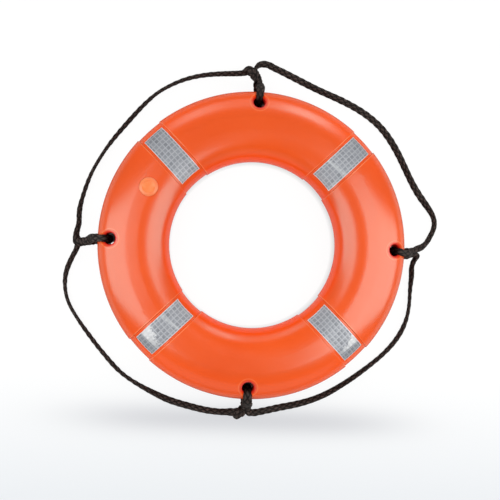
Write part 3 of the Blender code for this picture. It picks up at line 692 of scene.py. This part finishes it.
def width_directions(line, anchors):
    """Width direction at each point of a line: the anchors' own, and turned evenly between them."""
    along = tangents(line)
    sides = carried_frames(line, along)
    ups = np.cross(along, sides)
    marks, angles = [], []
    for k, wish in sorted(anchors, key=lambda a: a[0]):
        angle = atan2(wish @ ups[k], wish @ sides[k])
        if angles:
            angle -= pi * round((angle - angles[-1]) / pi)
        marks.append(k)
        angles.append(angle)
    total = distances(line)
    roll = np.interp(total, total[marks], angles)
    even = np.arange(0, total[-1], MM)
    reach = int(3 * TURN_BLUR / MM)
    weights = np.exp(-0.5 * (np.arange(-reach, reach + 1) * MM / TURN_BLUR) ** 2)
    padded = np.pad(np.interp(even, total, roll), reach, mode='edge')
    roll = np.interp(total, even, np.convolve(padded, weights / weights.sum(), 'valid'))
    return np.cos(roll)[:, None] * sides + np.sin(roll)[:, None] * ups


def settled(line, widths):
    """The line lowered or raised so that the flat rope rests where the frame's round one did."""
    normals = np.cross(tangents(line), widths)
    half = np.hypot(ROPE_WIDTH / 2 * widths[:, 2], ROPE_THICKNESS / 2 * normals[:, 2])
    free = np.clip((line[:, 2] - CAD_ROPE_RADIUS - FLOOR_GAP) / ROPE_FREE_HEIGHT, 0, 1)
    made = line.copy()
    made[:, 2] = np.maximum(line[:, 2] - (CAD_ROPE_RADIUS - half) * (1 - eased(free)), half + FLOOR_GAP)
    return made


def turned_width(along, shown):
    """Width direction of a flat rope that shows the given width from above, in millimetres."""
    flat = ((shown * MM) ** 2 - ROPE_THICKNESS ** 2) / (ROPE_WIDTH ** 2 - ROPE_THICKNESS ** 2)
    roll = acos(sqrt(min(max(flat, 0.0), 1.0)))
    level = unit(np.cross(along, (0, 0, 1)))
    return cos(roll) * level + sin(roll) * np.cross(level, along)


def grab_line():
    """Places, width directions and start of each stretch of the loop."""
    points, hints, marks = [], [], []
    for name, (first, route) in SPANS.items():
        hitch = to_world(hitch_points(HITCHES[first]), HITCHES[first]["angle"])
        marks += [("hitch_" + first, len(points)), ("span_" + name, len(points) + len(hitch) - 1)]
        points += [place for place, _ in hitch] + [Vector((*at, REST)[:3]) * MM for at in route]
        hints += [hint for _, hint in hitch] + [None] * len(route)
    dense = smooth_curve([points[-1], *points, points[0], points[1]])
    ends = [(name, start * CURVE_STEPS, end * CURVE_STEPS)
            for (name, start), (_, end) in zip(marks, marks[1:] + [("", len(points))])]
    total = distances(dense)
    along = tangents(dense)
    anchors = []
    for k, hint in zip(range(0, len(dense), CURVE_STEPS), hints):
        if hint is not None:
            wish = np.array(hint) if isinstance(hint, Vector) else turned_width(along[k], hint)
            anchors.append((k, wish))
    for name, first, last in ends[1::2]:
        shares, shown = zip(*SPAN_WIDTHS[name.replace("span_", "")])
        for share in between(0, 1, 40):
            k = int(np.searchsorted(total, total[first] + share * (total[last - 1] - total[first])))
            anchors.append((k, turned_width(along[k], np.interp(share, shares, shown))))

    # The loop is gone round twice, so that the turning also runs on where it starts
    count, start = len(dense), ends[4][1]
    anchors += [(k + count, wish) for k, wish in anchors]
    widths = width_directions(np.concatenate([dense, dense]), anchors)
    widths = np.concatenate([widths[count:count + start], widths[start:count]])
    dense = settled(dense, widths)
    stretches = {}
    for name, first, last in ends:
        picks = [k % count for k in range(first, last + 1)]
        stretches[name] = (dense[picks], widths[picks], total[first])
    return stretches


def signed_power(values, power):
    return np.sign(values) * np.abs(values) ** power


def braid_section(width, thickness):
    """Evenly spaced points round the flattened section, with their outward directions."""
    fine = np.linspace(0, tau, 4001)
    x = width / 2 * signed_power(np.cos(fine), 2 / ROPE_POWER)
    y = thickness / 2 * signed_power(np.sin(fine), 2 / ROPE_POWER)
    total = distances(np.stack([x, y], axis=1))
    at = np.arange(BRAID_SIDES) / BRAID_SIDES * total[-1]
    x, y = np.interp(at, total, x), np.interp(at, total, y)
    out = np.stack([signed_power(x / width * 2, ROPE_POWER - 1) / width,
                    signed_power(y / thickness * 2, ROPE_POWER - 1) / thickness], axis=1)
    return x, y, unit(out)


def braid_heights(a, b):
    """Height of the braid's two sets of strands where both phases are given."""
    i, j = np.floor(a), np.floor(b)
    across_a, across_b = a - i - 0.5, b - j - 0.5
    over, under = (STRAND_CROSSING * np.cos(pi * (i + j + v)) for v in (across_b, across_a))
    first = STRAND_ROUNDING * (1 - 3.4 * across_a ** 2) + over
    second = STRAND_ROUNDING * (1 - 3.4 * across_b ** 2) - under
    return first, second


def braid_phases(around, along):
    """Phases of the two sets of strands, at shares of a turn and at distances along the rope."""
    return STRANDS * (around + along / BRAID_PITCH), STRANDS * (along / BRAID_PITCH - around)


def braided_tube(name, line, widths, start, size=(ROPE_WIDTH, ROPE_THICKNESS), bulk=None, end_share=1.0):
    """A braided tube along a line. Returns the object and its ring centres."""
    total = distances(line)
    count = round(total[-1] / (BRAID_PITCH / BRAID_SIDES))
    at = np.linspace(0, total[-1], count + 1)
    centres, wide = (np.stack([np.interp(at, total, values[:, k]) for k in range(3)], axis=1)
                     for values in (line, widths))
    along = tangents(centres)
    wide = unit(wide - along * np.sum(wide * along, axis=1)[:, None])
    thin = np.cross(along, wide)
    x, y, out = braid_section(*size)
    around = (np.arange(BRAID_SIDES) + 0.5) / BRAID_SIDES
    first, second = braid_heights(*braid_phases(around, (start + at)[:, None]))
    scale_x, scale_y = np.ones((2, count + 1)) if bulk is None else bulk(at)
    sink = BRAID_RELIEF * (size[0] / ROPE_WIDTH) * scale_y[:, None] * (1 - np.maximum(first, second))
    to_end = np.clip((total[-1] - at) / (size[1] * TAIL_END_LENGTH), 0, 1)
    taper = end_share + (1 - end_share) * np.sqrt(1 - (1 - to_end) ** 2)
    px = (x * scale_x[:, None] - sink * out[:, 0]) * taper[:, None]
    py = (y * scale_y[:, None] - sink * out[:, 1]) * taper[:, None]
    verts = centres[:, None] + px[..., None] * wide[:, None] + py[..., None] * thin[:, None]
    verts = verts.reshape(-1, 3)
    verts[:, 2] = np.maximum(verts[:, 2], FLOOR_GAP)
    ids = np.arange(len(verts)).reshape(-1, BRAID_SIDES)
    after = np.roll(ids, -1, axis=1)
    faces = np.stack([ids[:-1], after[:-1], after[1:], ids[1:]], axis=-1).reshape(-1, 4).tolist()
    faces += [ids[0, ::-1].tolist(), ids[-1].tolist()]
    mesh = bpy.data.meshes.new(name)
    mesh.from_pydata(verts.tolist(), [], faces)
    mesh.shade_smooth()

    # Each face takes the coordinates of the strand that is on top there
    side, step = 1 / BRAID_SIDES, at[1] - at[0]
    a, b = braid_phases(around[:, None] + np.array([0, side, side, 0]),
                        (start + at)[:-1, None, None] + np.array([0, 0, step, step]))
    first, second = braid_heights(a.mean(axis=2), b.mean(axis=2))
    upper = (first > second)[..., None]
    uv = np.stack([np.where(upper, a, b + SETS_APART), np.where(upper, b, a)], axis=-1).reshape(-1)
    uv = np.concatenate([uv, np.zeros(4 * BRAID_SIDES)])
    mesh.uv_layers.new(name="strand").data.foreach_set("uv", uv.astype(np.float32))
    return add_object(name, mesh), centres


def hitch_bulk(hitch, line):
    """Width and thickness factors along a hitch's line, which bunches in the hole and at the neck."""
    middle = polar(HOLE_CIRCLE, radians(hitch["angle"]), MID_HEIGHT)
    centre = distances(line)[int(np.argmin(np.linalg.norm(line - middle, axis=1)))]
    front = -1 if hitch["front_leg"] == "in" else 1
    places, *factors = zip(FREE_BEFORE, *hitch.get("back_bulk", BACK_LEG), *IN_BORE,
                           *hitch.get("front_bulk", FRONT_LEG), FREE_AFTER)
    return lambda at: [np.interp(front * (at - centre) / MM, places, shares) for shares in factors]


def make_tail():
    world = to_world([([c * MM for c in point], None) for point in TAIL], HITCHES["bottom"]["angle"])
    points = [np.array(p) for p, _ in world]
    line = smooth_curve([2 * points[0] - points[1], *points, 2 * points[-1] - points[-2]])
    line = np.concatenate([line, [points[-1]]])
    anchors = [(0, np.array((0.7, -0.7, 0))), (len(line) - 1, np.array((0.75, -0.65, 0.0)))]
    size = (ROPE_WIDTH * TAIL_BULK[0], ROPE_THICKNESS * TAIL_BULK[1])
    return braided_tube("grab_line_tail_braid", line, width_directions(line, anchors), 0.0, size,
                        end_share=TAIL_END_SHARE)[0]


def make_grab_line():
    rope = black_rope()
    hitches, spans = {}, {}
    for name, (line, widths, start) in grab_line().items():
        bare_name = name.split("_", 1)[1]
        hitch = HITCHES.get(bare_name)
        piece, centres = braided_tube("grab_line_%s_braid" % name, line, widths, start,
                                      bulk=hitch_bulk(hitch, line) if hitch else None)
        stand_for(piece, "grab_line_" + name, rope)
        if hitch:
            hitches[bare_name] = piece
        else:
            spans[bare_name] = (piece, centres)
    tail = make_tail()
    stand_for(tail, "grab_line_tail", rope)


make_grab_line()


# Moulded shell

def band_offsets():
    """Offsets across a recess band with their depth, eased at both steps."""
    outer = RECESS_WIDTH / 2 + STEP_OUTSIDE
    inner = RECESS_WIDTH / 2 - STEP_INSIDE
    half = [(outer + (inner - outer) * share, RECESS_DEPTH * eased(share)) for share in between(0, 1, 8)]
    half += [(offset, RECESS_DEPTH) for offset in BAND_COLUMNS]
    return [(-o, d) for o, d in half] + [(0.0, RECESS_DEPTH)] + half[::-1]


def in_band(centre, offset):
    """Angle at a radius of a column in a recess band, where the offset stays the same."""
    return lambda radius: centre + asin(offset / radius)


def between_bands(centre, share):
    """Angle at a radius of a column this share of the way to the next recess band."""
    def angle(radius):
        edge = asin((RECESS_WIDTH / 2 + STEP_OUTSIDE) / radius)
        return centre + edge + share * (pi / 2 - 2 * edge)
    return angle


def section_stations():
    """Section angles all the way round, close together by the parting line."""
    near = [asin((z / HALF_DEPTH) ** (SECTION_POWER / 2)) for z in SEAM_ROWS]
    quarter = near + between(radians(4), LAND_ANGLE, 20) + between(LAND_ANGLE, pi / 2, 4)[1:]
    front = quarter + [pi - turn for turn in reversed(quarter[:-1])]
    return front + [-turn for turn in reversed(front[1:-1])]


def shell_grid():
    """Columns of places round the shell, as an array of columns by stations by 3."""
    columns = []
    for centre in BAND_ANGLES:
        columns += [(in_band(centre, offset), depth) for offset, depth in band_offsets()]
        columns += [(between_bands(centre, k / PLAIN_COLUMNS), 0.0) for k in range(1, PLAIN_COLUMNS)]
    grid = []
    for angle, depth in columns:
        outline = [section_point(turn, depth) for turn in section_stations()]
        grid.append([polar(radius, angle(radius), height) for radius, height in outline])
    return np.array(grid)


def grid_normals(grid):
    """Outward directions of a grid that closes both ways."""
    across, along = (np.roll(grid, -1, axis=axis) - np.roll(grid, 1, axis=axis) for axis in (0, 1))
    return unit(np.cross(across, along))


def plain_normal(point):
    """Outward direction of the section without recesses at a point on it."""
    x, y, z = point
    radius = hypot(x, y)
    out = radius - SECTION_CENTRE
    slope_out = 0.0 if abs(out) < FACE_LAND_WIDTH / 2 else slope_along(out, HALF_WIDTH)
    slope_up = slope_along(z - MID_HEIGHT, HALF_DEPTH)
    return Vector((slope_out * x / radius, slope_out * y / radius, slope_up)).normalized()


def finished(shape, mesh):
    """The mesh filled with the shape, whose faces all look outwards."""
    bmesh.ops.recalc_face_normals(shape, faces=shape.faces)
    shape.to_mesh(mesh)
    shape.free()
    return mesh


def bore_cutter():
    """The rope holes with their rounded lips at both faces."""
    shape = bmesh.new()
    directions = [tau * k / HOLE_SIDES for k in range(HOLE_SIDES)]
    stack = []
    for direction in directions:
        lower = lip_profile(direction)
        stack.append(lower[::-1] + [(s, RING_DEPTH - z) for s, z in lower])
    for angle in between(0, tau, 4)[:4]:
        place = Matrix.Rotation(angle, 4, 'Z') @ Matrix.Translation((HOLE_CIRCLE, 0, 0))
        rings = [[shape.verts.new(place @ Vector(polar(s, direction, z)))
                  for direction, (s, z) in zip(directions, level)] for level in zip(*stack)]
        shape.faces.new(rings[0])
        shape.faces.new(rings[-1])
        for ring, following in zip(rings, rings[1:]):
            for j in range(HOLE_SIDES):
                after = (j + 1) % HOLE_SIDES
                shape.faces.new((ring[j], ring[after], following[after], following[j]))
    return finished(shape, bpy.data.meshes.new("rope_bores"))


def filler_cutter(name, radius, low):
    high = RING_DEPTH + CUTTER_RISE
    shape = bmesh.new()
    made = bmesh.ops.create_cone(shape, cap_ends=True, segments=FILLER_SIDES, radius1=radius,
                                 radius2=radius, depth=high - low)
    centre = polar(FILLER_CIRCLE, FILLER_ANGLE, (low + high) / 2)
    bmesh.ops.translate(shape, verts=made["verts"], vec=centre)
    return finished(shape, bpy.data.meshes.new(name))


def mesh_with_cuts(item, cutters):
    """The item's mesh with the cutters taken out of it."""
    tools = []
    for mesh in cutters:
        tool = add_object(mesh.name + "_tool", mesh)
        step = item.modifiers.new(tool.name, 'BOOLEAN')
        step.operation = 'DIFFERENCE'
        step.solver = 'EXACT'
        step.object = tool
        tools.append(tool)
    bpy.context.view_layer.update()
    made = bpy.data.meshes.new_from_object(item.evaluated_get(bpy.context.evaluated_depsgraph_get()))
    item.modifiers.clear()
    for tool in tools:
        bpy.data.objects.remove(tool)
    return made


def surface_normal(point, known):
    """The uncut shell's outward direction at a point, or None off its surface."""
    key = tuple(np.round(np.array(point, float), 6))
    if key in known:
        return Vector(known[key])
    out = abs(hypot(point.x, point.y) - SECTION_CENTRE) / HALF_WIDTH
    up = abs(point.z - MID_HEIGHT)
    size = (out ** SECTION_POWER + (up / HALF_DEPTH) ** SECTION_POWER) ** (1 / SECTION_POWER)
    near = abs(size - 1) < 0.0016 or (abs(up - MID_HEIGHT) < 0.0002 and out < 0.2)
    return plain_normal(point) if near else None


def make_shell():
    grid = shell_grid()
    normals = grid_normals(grid)
    ids = np.arange(grid.shape[0] * grid.shape[1]).reshape(grid.shape[:2])
    mesh = bpy.data.meshes.new("ring_shell_moulding")
    mesh.from_pydata(grid.reshape(-1, 3).tolist(), [], quads(np.pad(ids, (0, 1), mode='wrap')))
    mesh.update()
    if mesh.polygons[0].normal @ Vector(normals[0, 0]) < 0:
        mesh.flip_normals()
    shell = add_object("ring_shell_moulding", mesh)
    made = mesh_with_cuts(shell, [bore_cutter(), filler_cutter("filler_seat", SEAT_RADIUS, SEAT_HEIGHT),
                                  filler_cutter("filler_bore", FILLER_RADIUS, SEAT_HEIGHT - BORE_DEPTH)])
    smooth(made, 38)

    # Corners on the uncut surface keep its directions, so that the cuts leave no dents in the shine
    known = {tuple(np.round(p, 6)): n for p, n in zip(grid.reshape(-1, 3), normals.reshape(-1, 3))}
    on_shell = [surface_normal(vertex.co, known) for vertex in made.vertices]
    corner_normals = [Vector(n.vector) for n in made.corner_normals]
    for polygon in made.polygons:
        if polygon.normal.length < 0.5:
            continue
        for corner in polygon.loop_indices:
            wish = on_shell[made.loops[corner].vertex_index]
            if wish is not None and wish.angle(polygon.normal, pi) < radians(24):
                corner_normals[corner] = wish
    made.normals_split_custom_set([tuple(n) for n in corner_normals])
    made.materials.clear()
    shell.data = made
    made.name = "ring_shell_moulding"
    stand_for(shell, "ring_shell", orange_shell())


make_shell()


# Reflective tapes

def cell_edges(length):
    """Distances from the middle at which the cells' faces and the lines between them start and end."""
    marks = {-length / 2, length / 2}
    count = int(length / 2 / CELL_PITCH) + 1
    for k in range(-count, count + 1):
        marks.update(round((k + share) * CELL_PITCH, 7) for share in CELL_MARKS)
    return sorted(m for m in marks if abs(m) <= length / 2)


def tape_rows():
    """Section angles along the face with their distance from its middle, at each cell edge."""
    turns = between(pi / 2, 0, 1800)
    run = distances(np.array([section_point(turn, RECESS_DEPTH) for turn in turns]))
    return [(float(np.interp(abs(d), run, turns)), d) for d in cell_edges(TAPE_LENGTH)]


def cell_sink(u, v):
    """Depth of the pressed lines between the cells."""
    shares = [abs(w / CELL_PITCH - floor(w / CELL_PITCH) - 0.5) for w in (u, v)]
    return CELL_SINK if max(shares) > CELL_FACE_HALF else 0.0


def tape_points(rows, offsets, facing, angle):
    """Places of the tape's underside, then of its face, row by row."""
    underside = RECESS_DEPTH - TAPE_GAP
    points = []
    for is_face in (False, True):
        for turn, run in rows:
            for offset in offsets:
                depth = underside - TAPE_THICKNESS + cell_sink(offset, run) if is_face else underside
                x, z = superellipse(turn, depth)
                radius = SECTION_CENTRE + copysign(x, run)
                height = MID_HEIGHT + facing * flattened(z, depth)
                points.append(polar(radius, angle + asin(offset / radius), height))
    return points


def tape_faces(count, width):
    """Both sides and the four edges of a tape of so many rows, this many points wide."""
    ids = np.arange(2 * count * width).reshape(2, count, width)
    edges = (ids[:, :, 0], ids[:, :, -1], ids[:, 0], ids[:, -1])
    return sum(map(quads, edges), quads(ids[0]) + quads(ids[1, :, ::-1]))


def make_tape(name, facing, angle):
    rows, offsets = tape_rows(), cell_edges(TAPE_WIDTH)
    faces = tape_faces(len(rows), len(offsets))
    mesh = bpy.data.meshes.new(name)
    mesh.from_pydata(tape_points(rows, offsets, facing, angle), [], faces)
    cells = np.array([(offset, run) for _, run in rows for offset in offsets] * 2) / CELL_PITCH
    uvs = cells[np.array(faces)].reshape(-1).astype(np.float32)
    mesh.uv_layers.new(name="tape").data.foreach_set("uv", uvs)
    shape = bmesh.new()
    shape.from_mesh(mesh)
    finished(shape, mesh)
    smooth(mesh, 50)
    return add_object(name, mesh)


def make_tapes():
    film = silver_tape()
    places = ("upper_right", "upper_left", "lower_left", "lower_right")
    for side, facing in (("front", 1), ("back", -1)):
        for place, angle in zip(places, BAND_ANGLES):
            node = "reflective_tape_%s_%s" % (side, place)
            tape = make_tape(node + "_film", facing, angle)
            stand_for(tape, node, film)


make_tapes()


# Filler plug

def plug_profile():
    """Radius and height of the plug's outline: the sunken panel, its rim, the flange and the shank."""
    under = SEAT_HEIGHT + PLUG_GAP
    top = under + FLANGE_THICKNESS
    crown = top + CROWN_RISE
    panel = [(0, 1.0), (0.45, 1.02), (0.78, 1.0), (0.86, 0.92), (0.92, 0.65), (0.96, 0.3), (0.99, 0.08),
             (1.03, 0), (1.08, 0.02), (1.14, 0.18), (1.22, 0.52)]
    flange = [(0.91, 0.3), (0.95, 0.7), (0.985, 1.3)]
    shank = FILLER_RADIUS - PLUG_GAP
    inside = shank - PLUG_WALL
    foot = BOSS_HEIGHT - PLUG_GAP
    tip = SEAT_HEIGHT - PLUG_REACH
    return [*((PANEL_RADIUS * share, crown - sunk * MM) for share, sunk in panel),
            (PANEL_RADIUS * 1.30, top),
            *((FLANGE_RADIUS * share, top - sunk * MM) for share, sunk in flange),
            (FLANGE_RADIUS, under + 0.0009), (FLANGE_RADIUS, under + 0.0002),
            (FLANGE_RADIUS - 0.0002, under), (shank, under), (shank, foot),
            (shank + 0.0006, foot - 0.0006), (shank, foot - 0.0015), (shank - 0.0008, tip),
            (inside - 0.0008, tip), (inside, foot), (inside * 0.7, under), (0, under)]


def make_plug():
    shape = bmesh.new()
    corners = [shape.verts.new((radius, 0, height)) for radius, height in plug_profile()]
    edges = [shape.edges.new(pair) for pair in zip(corners, corners[1:])]
    bmesh.ops.spin(shape, geom=corners + edges, cent=(0, 0, 0), axis=(0, 0, 1), angle=tau,
                   steps=FILLER_SIDES, use_merge=True)
    bmesh.ops.remove_doubles(shape, verts=shape.verts, dist=1e-6)
    bmesh.ops.translate(shape, verts=shape.verts, vec=polar(FILLER_CIRCLE, FILLER_ANGLE))
    mesh = finished(shape, bpy.data.meshes.new("filler_plug_body"))
    smooth(mesh, 40)
    stand_for(add_object("filler_plug_body", mesh), "filler_plug", pale_plug())


make_plug()

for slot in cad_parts["foam_core"].material_slots:
    slot.material = cream_foam()


# Floor, lights and background

def seen_share(n):
    """Share of the white surroundings that a ray sees: all for the camera, little for a mirror ray."""
    path = n.node("LightPath").node.outputs
    return n.math('MAXIMUM', path["Is Camera Ray"], path["Is Transmission Ray"],
                  n.times(path["Is Glossy Ray"], MIRRORED_SHARE))


def floor_colour(n, x, y):
    white, toward_camera, pool_grey = (1.0, 1.0, 1.0), (0.826, 0.854, 0.884), (0.645, 0.655, 0.685)
    under_ring, under_hole, past_rope = (0.07, 0.07, 0.075), (0.01, 0.008, 0.008), (0.90, 0.88, 0.88)
    from_axis = n.distance(x, y)
    n.colour = n.mix(n.times(n.rise(y, -0.22, -0.52), n.rise(from_axis, 1.6, 0.85)), white, toward_camera)

    # The pool of shade below the ring in the picture: middle, reach and power along x and y
    falls = (n.math('POWER', n.math('DIVIDE', n.off(value, middle), reach), power)
             for value, middle, reach, power in ((x, -0.008, 0.33, 4.0), (y, -0.356, 0.031, 2.0)))
    pool = n.math('EXPONENT', n.times(n.plus(*falls), -1.0))
    n.paint(n.times(pool, 0.95), pool_grey)

    # Contact shade under the ring and the rope holes, and the pale spots beside the rope
    n.paint(n.rise(n.off(from_axis, SECTION_CENTRE), 0.073, 0.044, 0.85), under_ring)
    hole_shade = n.times(n.rise(n.from_rope_hole(x, y), 0.028, 0.021), n.rise(from_axis, 0.301, 0.293))
    n.paint(hole_shade, under_hole)
    for spot in SHOWN_THROUGH:
        n.paint(n.rise(n.distance(x, y, spot), 0.0036, 0.0022), past_rope)
    return n.colour


def make_floor():
    mesh = bpy.data.meshes.new("studio_floor")
    corners = [(-1, -1), (1, -1), (1, 1), (-1, 1)]
    mesh.from_pydata([(FLOOR_REACH * x, FLOOR_REACH * y, 0) for x, y in corners], [], [(0, 1, 2, 3)])
    n, _, (x, y, _) = new_material("studio_floor")
    n.tree.nodes.remove(n.tree.nodes["Principled BSDF"])
    lit = n.node("BsdfDiffuse", {"Color": (0.58, 0.58, 0.58, 1)})
    glow = n.node("Emission", {"Color": floor_colour(n, x, y), "Strength": 1.07})
    mixed = n.node("MixShader", {0: 0.88, 1: lit, 2: glow})
    output = n.node("MixShader", {0: seen_share(n), 1: lit, 2: mixed})
    n.put(n.tree.nodes["Material Output"].inputs["Surface"], output)
    mesh.materials.append(n.owner)
    add_object("studio_floor", mesh)


def make_world():
    world = bpy.data.worlds.new("studio")
    bpy.context.scene.world = world
    n = Nodes(world)
    background = n.tree.nodes["Background"]
    n.put(background.inputs["Color"], (1, 1, 1, 1))
    n.put(background.inputs["Strength"], n.spread(seen_share(n), WORLD_GLOW, 1.0))


def make_light(name, place, target, width, length, watts):
    data = bpy.data.lights.new(name, 'AREA')
    data.shape = 'RECTANGLE'
    data.size, data.size_y = width, length
    data.energy = watts
    data.color = LIGHT_COLOUR
    lamp = add_object(name, data)
    lamp.location = place
    lamp.rotation_mode = 'QUATERNION'
    lamp.rotation_quaternion = (Vector(target) - Vector(place)).to_track_quat('-Z', 'Y')
    lamp.visible_camera = False


make_floor()
make_world()
for light_name, light_values in LIGHTS.items():
    make_light(light_name, *light_values)
bpy.context.scene.view_settings.view_transform = 'Standard'
